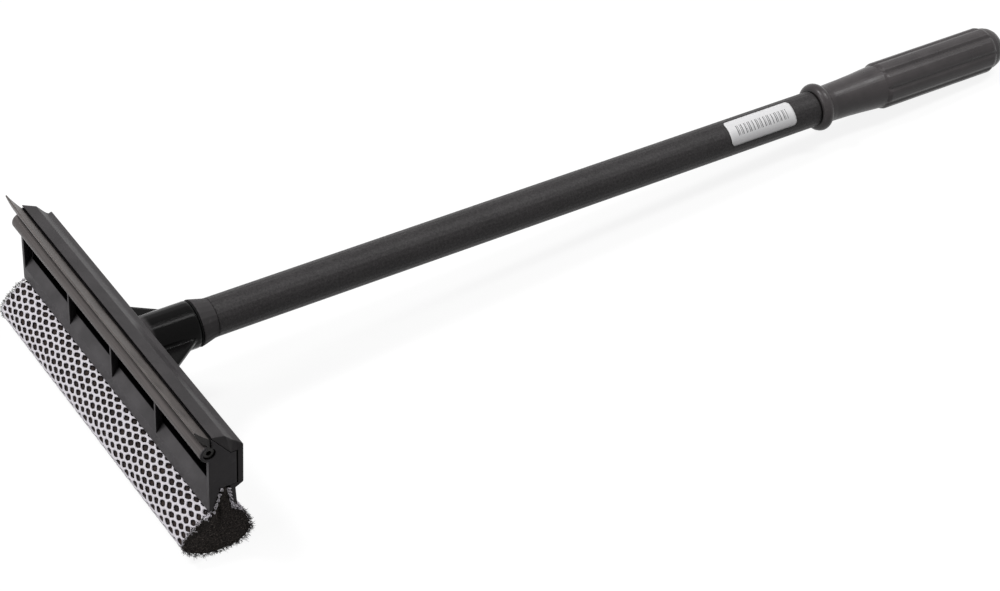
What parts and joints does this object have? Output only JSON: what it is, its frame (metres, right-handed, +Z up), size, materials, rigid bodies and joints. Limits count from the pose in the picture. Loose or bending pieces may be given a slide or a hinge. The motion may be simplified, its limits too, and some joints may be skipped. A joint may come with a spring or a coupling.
{
  "type": "windshield squeegee",
  "caption": "Long-handled windshield squeegee with a rubber wiping blade on one side of the head and a net-covered sponge on the other.",
  "frame": {"origin": "the middle of the sponge's flat sole, under the head, on the table that the tool lies on", "axes": "+X along the table from the head towards the grip's end, +Y along the head, +Z up; the tool lies at rest on its sponge and its grip, so the shaft slopes down towards the grip by 3.9 degrees"},
  "size_m": [0.6007, 0.203, 0.0852],
  "materials": {
    "cover_plastic": "satin black moulded plastic",
    "core_plastic": "black moulded plastic",
    "screw_steel": "plated steel",
    "blade_rubber": "dark rubber",
    "sponge_foam": "open-cell black foam",
    "net_yarn": "white knitted yarn",
    "washer_rubber": "black rubber",
    "collar_plastic": "dark grey plastic",
    "tube_paint": "textured black paint",
    "grip_plastic": "satin black plastic"
  },
  "bodies": {
    "head": {"cover": "cover_plastic", "core": "core_plastic", "clamp_screw_1": "screw_steel", "clamp_screw_2": "screw_steel", "clamp_screw_3": "screw_steel", "clamp_screw_4": "screw_steel", "sponge": "sponge_foam", "net": "net_yarn"},
    "wiper": {"blade": "blade_rubber"},
    "spacer": {"washer": "washer_rubber"},
    "handle": {"handle_tip": "collar_plastic", "tube": "tube_paint", "grip": "grip_plastic"}
  },
  "joints": [
    {"name": "blade_slide", "type": "slide", "parent": "head", "child": "wiper", "axis": [0, 1, 0], "range_m": [-0.2, 0.2]},
    {"name": "handle_advance", "type": "slide", "parent": "head", "child": "spacer", "axis": [0.9977, 0, -0.0675], "range_m": [0, 0.0203]},
    {"name": "handle_turn", "type": "hinge", "parent": "spacer", "child": "handle", "pos_m": [0.03936, 0, 0.04937], "axis": [0.9977, 0, -0.0675], "range_deg": [0, 1440]}
  ],
  "couplings": [
    {"joint": "handle_turn", "follows": "handle_advance", "rad_per_m": 1236.8}
  ]
}
